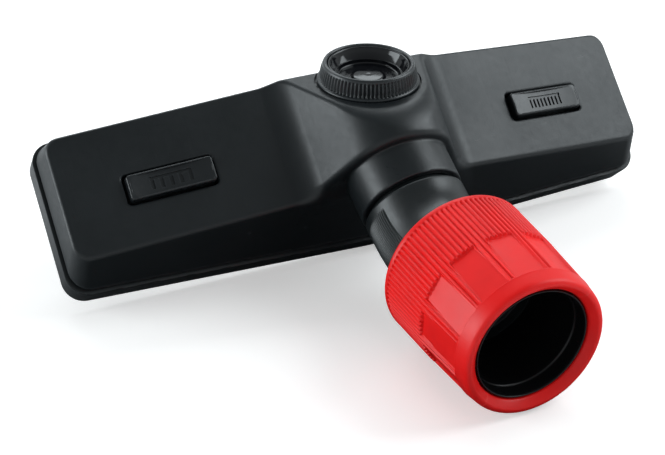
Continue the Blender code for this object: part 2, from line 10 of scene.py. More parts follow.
import bpy
import numpy as np
from mathutils import Matrix, Vector


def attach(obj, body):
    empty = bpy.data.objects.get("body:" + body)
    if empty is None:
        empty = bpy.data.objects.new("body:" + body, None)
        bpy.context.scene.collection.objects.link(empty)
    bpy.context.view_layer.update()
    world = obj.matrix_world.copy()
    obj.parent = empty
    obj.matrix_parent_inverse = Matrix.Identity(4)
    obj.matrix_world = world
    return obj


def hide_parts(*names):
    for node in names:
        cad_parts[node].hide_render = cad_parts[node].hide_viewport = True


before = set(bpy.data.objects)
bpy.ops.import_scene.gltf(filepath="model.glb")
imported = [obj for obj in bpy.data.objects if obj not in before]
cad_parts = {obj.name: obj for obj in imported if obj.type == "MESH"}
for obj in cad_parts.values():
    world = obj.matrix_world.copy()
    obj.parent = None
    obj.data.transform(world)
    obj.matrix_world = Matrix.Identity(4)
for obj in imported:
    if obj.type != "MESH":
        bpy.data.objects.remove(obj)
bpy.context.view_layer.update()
SCENE = bpy.context.scene

# ---------------------------------------------------------------- the head's sizes
# MID is at x = 0 and END at either end of the nozzle; sizes run straight between them.
HALF = 120.0  # half the nozzle's length
NEAR_MID, NEAR_END = 58.4, 54.0  # plan's reach toward -Y
FAR_MID, FAR_END = 3.3, 4.3  # plan's reach toward +Y
WING_MID, WING_END = 39.7, 24.1  # height of the wings
TOP_NEAR_MID, TOP_NEAR_END = 13.9, 8.8  # top edge's inset from the near reach
TOP_FAR_MID, TOP_FAR_END = 1.0, 3.2  # and from the far reach
SLOPE = (WING_MID - WING_END) / HALF
RIDGE_SOFTNESS = 4.0  # squared length over which the crease at x = 0 is softened
WALL, TRAY_TOP, SHELL_FOOT, PLAN_CORNER = 2.4, 11.6, 13.0, 7.9

LIE = math.radians(43.06)  # how far the head is tipped about X
POSE_Y = 79.72
KNOB_AXIS = Vector((0, math.sin(LIE), math.cos(LIE)))
KNOB_POINT = Vector((0, -7.53, 47.67))
NECK_END = Vector((0, -56.5, 49.6))
NECK_AXIS = Vector((0, -0.967, 0.254)).normalized()
NECK_R, NECK_BORE = 19.3, 17.0
RING_TILT = math.radians(41.2)
OUTLET_AXIS = Vector((0, -math.cos(RING_TILT), math.sin(RING_TILT)))
OUTLET_POINT = Vector((0, -53.16, 37.48))

BUTTON_X, BUTTON_Y = 77.8, -24.2
BUTTON_L, BUTTON_W, BUTTON_PROUD = 31.5, 9.6, 2.7
BUTTON_WING = WING_MID - SLOPE * BUTTON_X  # wing height at a button's middle
SCREWS = [(-109, -9), (-109, -38), (109, -9), (109, -38), (-42, -7), (42, -7)]

# Points round the tray's lower near edge: (inward from the edge, up).
TRAY_EDGE = [(2.4, 0), (0.9, 0.55), (0.35, 2.0)]
# Stations of the clamp ring: (distance along the outlet, radius).
RING_EDGE = [(45.2, 28.4), (46.6, 28.3), (68.3, 27.7), (90.2, 26.35)]


def laid(v):
    """A vector of the head after it is tipped."""
    c, s = math.cos(LIE), math.sin(LIE)
    return Vector((v[0], v[1] * c - v[2] * s, v[1] * s + v[2] * c))


# The tray's near edge is cut flat at REST; the lower of it and the clamp ring is the floor.
REST = 0.2 + min(laid((0, -NEAR_MID + inward, up)).z for inward, up in TRAY_EDGE)
FLOOR = min(
    [REST]
    + [
        laid(OUTLET_POINT + OUTLET_AXIS * run).z - radius * math.cos(RING_TILT - LIE)
        for run, radius in RING_EDGE
    ]
)
POSE = (
    Matrix.Scale(0.001, 4)
    @ Matrix.Translation((0, POSE_Y, -FLOOR))
    @ Matrix.Rotation(LIE, 4, "X")
)


def frame_on(point, axis):
    """A frame at point with its Z along axis and its X along the nozzle."""
    z = axis.normalized()
    x = Vector((1, 0, 0))
    y = z.cross(x).normalized()
    matrix = Matrix((x, y, z)).transposed().to_4x4()
    matrix.translation = point
    return matrix


KNOB_FRAME = frame_on(KNOB_POINT, KNOB_AXIS)
NECK_FRAME = frame_on(NECK_END, NECK_AXIS)
RING_FRAME = frame_on(OUTLET_POINT, OUTLET_AXIS)


# ---------------------------------------------------------------- signed distances, below 0 inside
def meet(a, b, r):
    """Where both a and b are inside, with an edge rounded to r."""
    return np.minimum(-r, np.maximum(a, b)) + np.hypot(
        np.maximum(r + a, 0), np.maximum(r + b, 0)
    )


def join(a, b, r):
    """Where either a or b is inside, with a fillet of r between them."""
    return np.maximum(r, np.minimum(a, b)) - np.hypot(
        np.maximum(r - a, 0), np.maximum(r - b, 0)
    )


def rect(u, v, half_u, half_v, r):
    """A rounded rectangle."""
    over_u, over_v = np.abs(u) - half_u + r, np.abs(v) - half_v + r
    return (
        np.hypot(np.maximum(over_u, 0), np.maximum(over_v, 0))
        + np.minimum(np.maximum(over_u, over_v), 0)
        - r
    )


def slab(height, low, high):
    return np.maximum(low - height, height - high)


def plane(x, y, z, point, normal):
    n = Vector(normal).normalized()
    return (x - point[0]) * n.x + (y - point[1]) * n.y + (z - point[2]) * n.z


def along(x, y, z, point, axis):
    """(height along the axis, distance from it)."""
    height = plane(x, y, z, point, axis)
    dx = x - point[0] - height * axis.x
    dy = y - point[1] - height * axis.y
    dz = z - point[2] - height * axis.z
    return height, np.sqrt(dx * dx + dy * dy + dz * dz)


def from_middle(x):
    """Distance from x = 0, softened there."""
    return np.sqrt(x * x + RIDGE_SOFTNESS)


def taper(end_part, mid, end):
    """A size running from mid at x = 0 to end where end_part is 1."""
    return mid * (1 - end_part) + end * end_part


def smooth(low, high, value):
    """0 below low, 1 above high, eased between."""
    t = np.clip((value - low) / (high - low), 0, 1)
    return t * t * (3 - 2 * t)


# ---------------------------------------------------------------- meshes
def contour(solid, low, high, cell):
    """Vertices and quads on solid = 0, crisp at edges: a dual contour, one vertex per grid cell."""
    size = cell
    low, high = np.array(low, float), np.array(high, float)
    counts = np.ceil((high - low) / size).astype(int) + 1
    axes = [(low[i] + size * np.arange(counts[i])).astype(np.float32) for i in range(3)]
    field = np.asarray(np.broadcast_to(solid(*np.ix_(*axes)), tuple(counts)), np.float32)
    inside = field < 0
    strides = np.array([counts[1] * counts[2], counts[2], 1])
    points, cells, signs = [], [], []
    for axis in range(3):
        first, second = [slice(None)] * 3, [slice(None)] * 3
        first[axis], second[axis] = slice(0, -1), slice(1, None)
        hit = np.argwhere(inside[tuple(first)] != inside[tuple(second)])
        starts_in = inside[tuple(hit.T)]
        start = low + hit * size
        point = start.copy()
        before, after = np.zeros(len(hit)), np.ones(len(hit))
        for _ in range(7):  # bisect along the grid edge
            t = (before + after) / 2
            point[:, axis] = start[:, axis] + t * size
            same = (solid(*point.T) < 0) == starts_in
            before, after = np.where(same, t, before), np.where(same, after, t)
        point[:, axis] = start[:, axis] + (before + after) / 2 * size
        around = []
        for side_b, side_c in ((-1, -1), (0, -1), (0, 0), (-1, 0)):
            beside = hit.copy()
            beside[:, (axis + 1) % 3] += side_b
            beside[:, (axis + 2) % 3] += side_c
            around.append(beside @ strides)
        points.append(point)
        cells.append(np.stack(around, 1))
        signs.append(starts_in)
    points, cells, signs = (np.concatenate(parts) for parts in (points, cells, signs))
    nudges = 0.02 * np.eye(3)
    normals = np.stack(
        [solid(*(points + n).T) - solid(*(points - n).T) for n in nudges], 1
    )
    normals /= np.linalg.norm(normals, axis=1, keepdims=True) + 1e-12
    ids, where = np.unique(cells.ravel(), return_inverse=True)
    where = where.reshape(cells.shape)
    total = len(ids)
    flat = where.ravel()

    def gather(values):
        """Sums a value per crossing over the cells that share it."""
        return np.bincount(flat, weights=np.repeat(values, 4), minlength=total)

    # Least squares: each cell's vertex goes where its crossings' tangent planes meet.
    count = gather(np.ones(len(points)))
    mean = np.stack([gather(points[:, i]) for i in range(3)], 1) / count[:, None]
    offset = np.einsum("ij,ij->i", normals, points)
    left = np.empty((total, 3, 3))
    for i in range(3):
        for j in range(i, 3):
            left[:, i, j] = left[:, j, i] = gather(normals[:, i] * normals[:, j])
    right = np.stack([gather(normals[:, i] * offset) for i in range(3)], 1)
    right -= np.einsum("nij,nj->ni", left, mean)
    left[:, range(3), range(3)] += 0.10 * count[:, None]  # holds it near the mean
    verts = mean + np.linalg.solve(left, right[:, :, None])[:, :, 0]
    places = [ids // strides[0], (ids % strides[0]) // strides[1], ids % strides[1]]
    corner = np.stack(places, 1) * size + low
    verts = np.clip(verts, corner + 0.02 * size, corner + 0.98 * size)
    return verts, np.where(signs[:, None], where, where[:, ::-1])


def stitch(rings, segments):
    """Quads between neighbouring rings, the last joined to the first."""
    i, j = np.arange(rings)[:, None], np.arange(segments)[None, :]
    k, below = (j + 1) % segments, (i + 1) % rings * segments
    above = i * segments
    return np.stack([above + j, above + k, below + k, below + j], -1).reshape(-1, 4)


def spin(rows, segments):
    """Rows of (radius, height) turned round Z. A radius is a number or one value per segment."""
    angle = 2 * np.pi * np.arange(segments) / segments
    cos, sin = np.cos(angle), np.sin(angle)
    rings = [np.stack([r * cos, r * sin, np.zeros(segments) + h], 1) for r, h in rows]
    return np.concatenate(rings), stitch(len(rows), segments)


def sweep(rings, segments):
    """A skin through (centre, axis, radius) circles."""
    angle = 2 * np.pi * np.arange(segments) / segments
    parts = []
    for centre, axis, r in rings:
        y = np.array(axis.cross(Vector((1, 0, 0))).normalized())
        across = np.outer(r * np.cos(angle), (1, 0, 0))
        parts.append(np.array(centre)[None, :] + across + np.outer(r * np.sin(angle), y))
    return np.concatenate(parts), stitch(len(rings), segments)


def rounded(profile, radius):
    """Rounds the corners of a closed (radius, height) profile, each in three steps."""
    out = []
    for i, spot in enumerate(profile):
        spot = Vector(spot)
        back = Vector(profile[i - 1]) - spot
        ahead = Vector(profile[(i + 1) % len(profile)]) - spot
        reach = min(radius, back.length * 0.48, ahead.length * 0.48)
        start, end = spot + back.normalized() * reach, spot + ahead.normalized() * reach
        for j in range(4):
            t = j / 3
            out.append(tuple(start * (1 - t) ** 2 + spot * (2 * t * (1 - t)) + end * t**2))
    return out


def piece(name, shape, finish, body, node, place=Matrix(), sharp=38):
    """A mesh object laid on the floor that rides a body and stands for a CAD node.

    Edges over sharp degrees stay crisp.
    """
    verts, quads = shape
    matrix = np.array(POSE @ place, float)
    verts = np.asarray(verts, float) @ matrix[:3, :3].T + matrix[:3, 3]
    p0, p1, p2, p3 = (verts[quads[:, i]] for i in range(4))
    if np.einsum("ij,ij->i", p0, np.cross(p1, p2) + np.cross(p2, p3)).sum() < 0:
        quads = quads[:, ::-1]  # the faces looked inward
    mesh = bpy.data.meshes.new(name)
    mesh.vertices.add(len(verts))
    mesh.vertices.foreach_set("co", verts.astype(np.float32).ravel())
    mesh.loops.add(len(quads) * 4)
    mesh.loops.foreach_set("vertex_index", quads.astype(np.int32).ravel())
    mesh.polygons.add(len(quads))
    mesh.polygons.foreach_set("loop_start", np.arange(0, len(quads) * 4, 4, dtype=np.int32))
    mesh.update(calc_edges=True)
    mesh.validate()
    obj = bpy.data.objects.new(name, mesh)
    SCENE.collection.objects.link(obj)
    mesh.shade_smooth()
    mesh.set_sharp_from_angle(angle=math.radians(sharp))
    mesh.materials.append(finish)
    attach(obj, body)
    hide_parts(node)


# ---------------------------------------------------------------- finishes
class Nodes:
    """The node tree of a material or world. Each method adds a node and returns its output."""

    def __init__(self, owner, shader="Principled BSDF", space="Object"):
        self.owner = owner
        owner.use_nodes = True
        self.tree = owner.node_tree
        self.shader = self.tree.nodes[shader]
        self.coord = self.tree.nodes.new("ShaderNodeTexCoord").outputs[space]

    def fill(self, node, inputs):
        """Sets inputs, by name or number, to values or to other nodes' outputs."""
        for key, value in inputs.items():
            if isinstance(value, bpy.types.NodeSocket):
                self.tree.links.new(value, node.inputs[key])
            else:
                node.inputs[key].default_value = value

    def add(self, kind, output, inputs, **settings):
        node = self.tree.nodes.new(kind)
        for key, value in settings.items():
            setattr(node, key, value)
        self.fill(node, inputs)
        return node.outputs[output]

    def mapped(self, scale, turn=(0, 0, 0)):
        inputs = {"Scale": scale, "Rotation": turn, "Vector": self.coord}
        return self.add("ShaderNodeMapping", "Vector", inputs)

    def noise(self, scale, detail, rough, vector=None):
        inputs = {"Scale": scale, "Detail": detail, "Roughness": rough}
        inputs["Vector"] = vector or self.coord
        return self.add("ShaderNodeTexNoise", "Fac", inputs)

    def cells(self, scale):
        inputs = {"Scale": scale, "Vector": self.coord}
        return self.add("ShaderNodeTexVoronoi", "Distance", inputs)

    def remap(self, value, span, to):
        return self.add("ShaderNodeMapRange", 0, dict(enumerate((value, *span, *to))))

    def math(self, kind, a, b):
        return self.add("ShaderNodeMath", 0, {0: a, 1: b}, operation=kind)

    def mix(self, fac, a, b):
        a, b = ((*x, 1) if isinstance(x, tuple) else x for x in (a, b))
        return self.add("ShaderNodeMix", 2, {0: fac, 6: a, 7: b}, data_type="RGBA")

    def pointiness(self):
        return self.add("ShaderNodeNewGeometry", "Pointiness", {})

    def bump(self, height, strength, distance, before=None):
        inputs = {"Strength": strength, "Distance": distance, "Height": height}
        if before is not None:
            inputs["Normal"] = before
        return self.add("ShaderNodeBump", "Normal", inputs)


def plastic(
    name, colour, rough, spread=0.06, grain=2600, grain_depth=0.00004, wave=0.00004,
    worn=None, scratch=0.10, specular=0.5, soft=0.0,
):
    """Moulded plastic: fine grain, slow waviness, mottled gloss, rubbed edges and hair scratches.

    grain is the grain's scale; grain_depth and wave are bump depths in metres; spread and scratch
    change the roughness; worn is the colour of specks and rubbed edges; soft is subsurface weight.
    """
    look = Nodes(bpy.data.materials.new(name))
    cloud = look.noise(scale=28, detail=4, rough=0.55)
    fine = look.noise(scale=420, detail=3, rough=0.6)
    speck = look.cells(scale=900)
    dark = tuple(c * 0.86 for c in colour)
    light = tuple(min(1, c * 1.12 + 0.0006) for c in colour)
    base = look.mix(look.remap(cloud, span=(0.3, 0.7), to=(0, 1)), dark, light)
    base = look.mix(look.remap(speck, span=(0.02, 0.10), to=(0.22, 0.0)), base, worn or light)
    edge = look.math("ADD", look.pointiness(), look.math("MULTIPLY", fine, 0.02))
    edge = look.remap(edge, span=(0.53, 0.60), to=(0, 1))
    if worn:
        base = look.mix(look.math("MULTIPLY", edge, 0.55), base, worn)
    stretched = look.mapped(scale=(60, 60, 2600), turn=(0.5, 0.4, 0.9))
    lines = look.noise(scale=1.0, detail=2, rough=0.5, vector=stretched)
    hair = look.remap(lines, span=(0.70, 0.74), to=(0, 1))
    gloss = look.remap(cloud, span=(0.3, 0.7), to=(rough - spread, rough + spread))
    gloss = look.math("ADD", gloss, look.remap(fine, span=(0.3, 0.7), to=(-0.035, 0.035)))
    gloss = look.math("SUBTRACT", gloss, look.math("MULTIPLY", hair, scratch))
    gloss = look.math("SUBTRACT", gloss, look.math("MULTIPLY", edge, 0.08))
    inputs = {"Base Color": base, "Roughness": gloss, "Specular IOR Level": specular}
    if soft:
        inputs["Subsurface Weight"] = soft
        inputs["Subsurface Radius"] = (0.0012, 0.0003, 0.0003)
        inputs["Subsurface Scale"] = 1.0
    grained = look.noise(scale=grain, detail=2, rough=0.6)
    grained = look.bump(grained, strength=0.5, distance=grain_depth)
    waves = look.noise(scale=60, detail=2, rough=0.5)
    inputs["Normal"] = look.bump(waves, strength=0.6, distance=wave, before=grained)
    look.fill(look.shader, inputs)
    return look.owner


def metal(name, colour, rough):
    """Steel with fine lines and tarnish."""
    look = Nodes(bpy.data.materials.new(name))
    cloud = look.noise(scale=90, detail=4, rough=0.6)
    stretched = look.mapped(scale=(900, 900, 9000))
    lines = look.noise(scale=1.0, detail=3, rough=0.6, vector=stretched)
    tarnish = look.remap(cloud, span=(0.35, 0.7), to=(0, 1))
    look.fill(look.shader, {
        "Base Color": look.mix(tarnish, colour, tuple(c * 0.7 for c in colour)),
        "Roughness": look.remap(lines, span=(0.3, 0.7), to=(rough - 0.08, rough + 0.1)),
        "Metallic": 1.0,
        "Normal": look.bump(lines, strength=0.3, distance=0.00002),
    })
    return look.owner


HOUSING = plastic(
    "moulded_housing", colour=(0.0075, 0.0100, 0.0115), rough=0.40,
    worn=(0.035, 0.040, 0.044), specular=0.42,
)
TRAY = plastic(
    "moulded_tray", colour=(0.0070, 0.0090, 0.0102), rough=0.42,
    worn=(0.035, 0.040, 0.043), specular=0.42,
)
KNOB = plastic(
    "moulded_knob", colour=(0.0075, 0.0098, 0.0115), rough=0.30, worn=(0.05, 0.056, 0.06)
)
CUP = plastic(
    "polished_cup", colour=(0.003, 0.0034, 0.005), rough=0.11, spread=0.03,
    grain_depth=0.000006, wave=0.00002, scratch=0.03, specular=0.4,
)
BUTTON = plastic(
    "moulded_button", colour=(0.0075, 0.0095, 0.011), rough=0.33, worn=(0.06, 0.066, 0.07)
)
COMB = plastic("moulded_comb", colour=(0.014, 0.015, 0.016), rough=0.46, worn=(0.06, 0.06, 0.06))
ELBOW = plastic(
    "moulded_elbow", colour=(0.0080, 0.0105, 0.0115), rough=0.38,
    worn=(0.035, 0.040, 0.044), specular=0.48,
)
LINER = plastic(
    "moulded_liner", colour=(0.0042, 0.0042, 0.0048), rough=0.30, spread=0.05,
    grain_depth=0.00001, worn=(0.012, 0.012, 0.014), specular=0.3,
)
RED = plastic(
    "moulded_red", colour=(0.90, 0.0065, 0.0060), rough=0.40, worn=(0.95, 0.05, 0.045),
    scratch=0.05, soft=0.02, grain_depth=0.00002, specular=0.30,
)
GREY = plastic("moulded_grey", colour=(0.09, 0.09, 0.095), rough=0.5, worn=(0.2, 0.2, 0.2))
RUBBER = plastic(
    "seal_rubber", colour=(0.008, 0.008, 0.009), rough=0.72, spread=0.1,
    grain=1500, grain_depth=0.00008, scratch=0.02,
)
SPRING = metal("spring_wire", colour=(0.52, 0.53, 0.55), rough=0.28)
SCREW = metal("plated_screw", colour=(0.56, 0.56, 0.57), rough=0.34)

# ---------------------------------------------------------------- top housing
FOOT_INSET = 1.4  # of the shell's foot from the plan
ARCH_Z, ARCH_R = 45.45, 22.15  # the hood's round top
SIDE_SLOPE = math.radians(61.5)  # of the hood's flanks
HOOD_NEAR = (0, -42.7, 41.6), (0, -1.0, 0.18)  # cutting planes: point, normal
HOOD_FAR = (0, 2.35, 38.0), (0, 1, 0.04)
GUIDE_GAP, GUIDE_FOOT = 2.6, 18.6  # block round each button
WELL_GAP, WELL_FOOT = 0.9, 15.0  # opening round each button
POST_R, POST_FOOT, PILOT_R, PILOT_TOP = 3.2, 4.6, 1.75, 16.0
GROOVE_R, GROOVE_LOW, GROOVE_HIGH = 18.2, -13.2, -10.4  # in the neck's bore
SEAT_R, SEAT_DEPTH = 19.5, 1.3  # recess under the knob
SHAFT_R, SHAFT_DEPTH = 5.0, 9.0
PIN_CIRCLE, PIN_R, PIN_DEPTH = 8.4, 1.8, 7.0  # three holes round the shaft


def skin(x, y, z):
    """The housing's outside, open below and without the neck: the wings and the middle hood."""
    off = from_middle(x)
    part = off / HALF
    top = WING_MID - SLOPE * off
    rise = top - SHELL_FOOT
    lift = np.clip((z - SHELL_FOOT) / rise, -0.6, 1.7)
    foot_near = -taper(part, NEAR_MID - FOOT_INSET, NEAR_END - FOOT_INSET)
    top_near = -taper(part, NEAR_MID - TOP_NEAR_MID, NEAR_END - TOP_NEAR_END)
    lean = rise / np.sqrt(rise * rise + (top_near - foot_near) ** 2)
    near = (foot_near + (top_near - foot_near) * lift - y) * lean
    foot_far = taper(part, FAR_MID - FOOT_INSET, FAR_END - FOOT_INSET)
    top_far = taper(part, FAR_MID - TOP_FAR_MID, FAR_END - TOP_FAR_END)
    far = y - (foot_far + (top_far - foot_far) * lift)
    end = np.abs(x) - (HALF - 1.2 - 1.6 * lift)
    corner = 6.8 - 1.0 * np.clip(lift, 0, 1)
    side = meet(meet(near, end, corner), far, corner)
    wing = meet(side, (z - top) / math.sqrt(1 + SLOPE * SLOPE), 1.25)
    cos, sin = math.cos(SIDE_SLOPE), math.sin(SIDE_SLOPE)
    arch_x = np.sqrt(x * x + 0.01)
    arch_z = z - ARCH_Z
    on_round = arch_z * sin - arch_x * cos > 0
    arch = np.where(on_round, np.hypot(arch_x, arch_z), sin * arch_x + cos * arch_z) - ARCH_R
    hood = meet(arch, plane(x, y, z, *HOOD_NEAR), 2.4)
    hood = meet(hood, plane(x, y, z, *HOOD_FAR), 1.2)
    body = meet(join(wing, hood, 5.6), far - 0.1, 1.0)
    # The edge of the knob's face is rounder on the near side, round x = 3.
    crest = 1.3 + 3.2 * np.exp(-((x - 3.0) ** 2) / 300.0) * np.clip((-14.0 - y) / 8.0, 0, 1)
    return meet(body, plane(x, y, z, KNOB_POINT, KNOB_AXIS), crest)


def button_plan(x, y, side, gap, corner):
    """A button's outline grown by gap."""
    half_l, half_w = BUTTON_L / 2 + gap, BUTTON_W / 2 + gap
    return rect(x - side * BUTTON_X, y - BUTTON_Y, half_l, half_w, corner)


def housing(x, y, z):
    out = skin(x, y, z)
    neck_w, neck_r = along(x, y, z, NECK_END, NECK_AXIS)
    knob_w, knob_r = along(x, y, z, KNOB_POINT, KNOB_AXIS)
    neck = meet(meet(neck_r - NECK_R, neck_w, 0.7), -26.0 - neck_w, 0.5)
    full = join(out, neck, 0.7)
    inner = meet(out + WALL, plane(x, y, z, KNOB_POINT, KNOB_AXIS) + 3.9, 1.0)
    shell = meet(meet(full, -inner, 0.3), SHELL_FOOT - z, 0.35)
    shell = np.minimum(shell, meet(neck_r - (NECK_R - 0.25), slab(neck_w, -27.0, -3.0), 0.3))
    deep = out + 0.6  # keeps guides and posts under the skin
    for side in (-1, 1):
        guide = np.maximum(button_plan(x, y, side, GUIDE_GAP, 1.5), GUIDE_FOOT - z)
        shell = np.minimum(shell, np.maximum(guide, deep))
    for px, py in SCREWS:
        post = np.maximum(np.hypot(x - px, y - py) - POST_R, POST_FOOT - z)
        shell = np.minimum(shell, np.maximum(post, deep))
    for side in (-1, 1):
        well = button_plan(x, y, side, WELL_GAP, 1.6)
        shell = meet(shell, -np.maximum(well, WELL_FOOT - z), 0.7)
    for px, py in SCREWS:
        pilot = np.maximum(np.hypot(x - px, y - py) - PILOT_R, z - PILOT_TOP)
        shell = np.maximum(shell, -pilot)
    bore = np.maximum(neck_r - NECK_BORE, -30.0 - neck_w)
    groove = np.maximum(neck_r - GROOVE_R, slab(neck_w, GROOVE_LOW, GROOVE_HIGH))
    shell = meet(shell, -np.minimum(bore, groove), 0.4)
    shell = meet(shell, -np.maximum(knob_r - SEAT_R, -SEAT_DEPTH - knob_w), 0.3)
    shell = np.maximum(shell, -np.maximum(knob_r - SHAFT_R, -SHAFT_DEPTH - knob_w))
    for i in range(3):
        angle = math.radians(90 + 120 * i)
        centre = Vector((PIN_CIRCLE * math.cos(angle), PIN_CIRCLE * math.sin(angle), 0))
        pin_w, pin_r = along(x, y, z, KNOB_FRAME @ centre, KNOB_AXIS)
        shell = np.maximum(shell, -np.maximum(pin_r - PIN_R, -PIN_DEPTH - pin_w))
    return shell


shape = contour(housing, (-121.5, -62.6, 3.4), (121.5, 6.5, 71.0), cell=0.6)
piece("housing_skin", shape, HOUSING, "head", "top_housing", sharp=58)

# ---------------------------------------------------------------- base tray and its seal
TRAY_WALL, TRAY_FLOOR = 2.5, 2.4
MOUTH_Y, MOUTH_HALF_L, MOUTH_HALF_W = -29.0, 38.0, 16.0
SLOT_HALF_L, SLOT_HALF_W = 27.0, 7.0  # opening under each button
BOSS_R, SCREW_SINK_R, SCREW_BORE_R = 4.2, 3.3, 1.8


def rim(x, y, inset):
    """The tray's plan, drawn in by inset."""
    part = from_middle(x) / HALF
    near = -y - taper(part, NEAR_MID, NEAR_END) + inset
    far = y - taper(part, FAR_MID, FAR_END) + inset
    end = np.abs(x) - HALF + inset
    return meet(meet(near, end, PLAN_CORNER), far, PLAN_CORNER)


def tray(x, y, z):
    out = rim(x, y, 0.05 + 0.35 * np.clip((TRAY_TOP - z) / TRAY_TOP, 0, 1))
    out = meet(out, -z, 2.1)
    out = meet(out, z - TRAY_TOP, 0.45)
    out = np.maximum(out, REST - (y * math.sin(LIE) + z * math.cos(LIE)))  # resting flat
    hollow = meet(rim(x, y, TRAY_WALL), TRAY_FLOOR - z, 0.9)
    body = meet(out, -hollow, 0.25)
    for px, py in SCREWS:
        boss = np.maximum(np.hypot(x - px, y - py) - BOSS_R, slab(z, 0.4, 3.9))
        body = np.minimum(body, boss)
    mouth = rect(x, y - MOUTH_Y, MOUTH_HALF_L, MOUTH_HALF_W, 3.5)
    lip = meet(np.abs(mouth - 1.0) - 1.0, slab(z, 0.3, 4.2), 0.35)
    body = join(body, lip, 0.4)
    body = meet(body, -mouth, 0.8)
    for side in (-1, 1):
        slot = rect(x - side * BUTTON_X, y - BUTTON_Y, SLOT_HALF_L, SLOT_HALF_W, 2.2)
        body = meet(body, -slot, 0.6)
    for px, py in SCREWS:
        away = np.hypot(x - px, y - py)
        hole = np.minimum(np.maximum(away - SCREW_SINK_R, z - 1.3), away - SCREW_BORE_R)
        body = meet(body, -hole, 0.2)
    return body


def gasket(x, y, z):
    band = np.maximum(rim(x, y, 1.5), -rim(x, y, 3.6))
    return meet(band, np.abs(z - 12.3) - 0.4, 0.25)


shape = contour(tray, (-121.5, -60.0, -1.3), (121.5, 6.0, 12.9), cell=0.5)
piece("tray_skin", shape, TRAY, "head", "base_tray")
shape = contour(gasket, (-120.5, -58.5, 11.2), (120.5, 4.5, 13.4), cell=0.4)
piece("tray_gasket", shape, RUBBER, "head", "tray_seal")

# ---------------------------------------------------------------- screws
HEAD_R, SHANK_R = 2.95, 1.28
THREAD_DEPTH, THREAD_PITCH = 0.16, 0.85
CROSS_HALF_L, CROSS_HALF_W = 1.7, 0.36


def screw(x, y, z):
    """A cross-head screw at the origin, its head down and its tip up."""
    away = np.hypot(x, y)
    turn = np.arctan2(y, x) / (2 * np.pi)
    head = meet(away - HEAD_R, slab(z, 0.25, 1.0), 0.25)
    thread = THREAD_DEPTH * np.cos(2 * np.pi * (z / THREAD_PITCH - turn))
    shank = np.maximum(away - SHANK_R - thread, slab(z, 0.6, 13.4))
    tip = np.maximum(away - np.clip((14.2 - z) * 1.1, 0, 1.1), 12.9 - z)
    body = np.minimum(np.minimum(head, shank), np.maximum(tip, z - 14.15))
    cross = np.minimum(
        rect(x, y, CROSS_HALF_L, CROSS_HALF_W, 0.1), rect(x, y, CROSS_HALF_W, CROSS_HALF_L, 0.1)
    )
    return np.maximum(body, -np.maximum(cross + 0.35 * (z - 0.25), z - 0.85))


shape = contour(screw, (-3.3, -3.3, 0.0), (3.3, 3.3, 14.5), cell=0.15)
for i, (sx, sy) in enumerate(SCREWS):
    place = Matrix.Translation((sx, sy, 0)) @ Matrix.Rotation(0.7 * i + 0.3, 4, "Z")
    node = "housing_screw_%d" % (i + 1)
    piece("tray_screw_%d" % (i + 1), shape, SCREW, "head", node, place)

# ---------------------------------------------------------------- push-buttons and combs
CAP_DEPTH = 7.6  # below the wing
MARK_SPAN = 14.0  # across the outer bars of the cap's mark
COMB_SPAN, COMB_ROW_Y = 47.0, 4.2  # pin rows: length, distance from the middle


def cap(side, bars):
    """A button cap with a dished face, a sunk comb mark and a stepped stem."""
    low = BUTTON_WING - CAP_DEPTH
    crown = BUTTON_WING + BUTTON_PROUD
    lean = math.atan(SLOPE) * side
    cos, sin = math.cos(lean), math.sin(lean)

    def solid(x, y, z):
        over = (z - crown) * cos + x * sin  # height over the cap's top, square to it
        plan = rect(x, y, BUTTON_L / 2, BUTTON_W / 2, 1.3)
        body = meet(meet(plan, over + 0.012 * y * y, 0.75), low - z, 0.3)
        dish = 0.12 + 1.0 * np.clip(1 - (x / 14.4) ** 2, 0, 1)
        face = rect(x, y, BUTTON_L / 2 - 0.95, BUTTON_W / 2 - 0.8, 0.6)
        body = meet(body, -np.maximum(face, -dish - over), 0.12)
        marks = rect(x, y - 1.75, 7.6, 0.5, 0.2)
        pitch = MARK_SPAN / (bars - 1)
        half_bar = 0.7 if bars < 6 else 0.4
        for i in range(bars):
            bar = rect(x + MARK_SPAN / 2 - pitch * i, y + 0.35, half_bar, 2.1, 0.2)
            marks = np.minimum(marks, bar)
        body = meet(body, -np.maximum(marks, -dish - 0.55 - over), 0.08)
        stem = np.maximum(rect(x, y, 4.5, 2.2, 0.5), np.maximum(12.6 - z, z - low - 2))
        peg = np.maximum(rect(x, y, 2.5, 1.2, 0.3), slab(z, 9.4, 14.5))
        return np.minimum(np.minimum(body, stem), peg)

    return solid


def rake(columns, radius):
    """A plate with two rows of pins pointing down and a hole for the button's peg."""

    def solid(x, y, z):
        plate = meet(rect(x, y, 31.5, 5.6, 1.5), np.abs(z - 11.1) - 1.1, 0.35)
        pitch = COMB_SPAN / (columns - 1)
        column = np.clip(np.round((x + COMB_SPAN / 2) / pitch), 0, columns - 1)
        px = x - (column * pitch - COMB_SPAN / 2)
        py = np.abs(y) - COMB_ROW_Y
        width = radius * (0.85 + 0.035 * (z - 1.0))
        pin = meet(np.hypot(px, py) - width, slab(z, 1.0, 10.6), radius * 0.8)
        body = join(plate, pin, 0.4)
        return np.maximum(body, -rect(x, y, 2.8, 1.5, 0.3))

    return solid


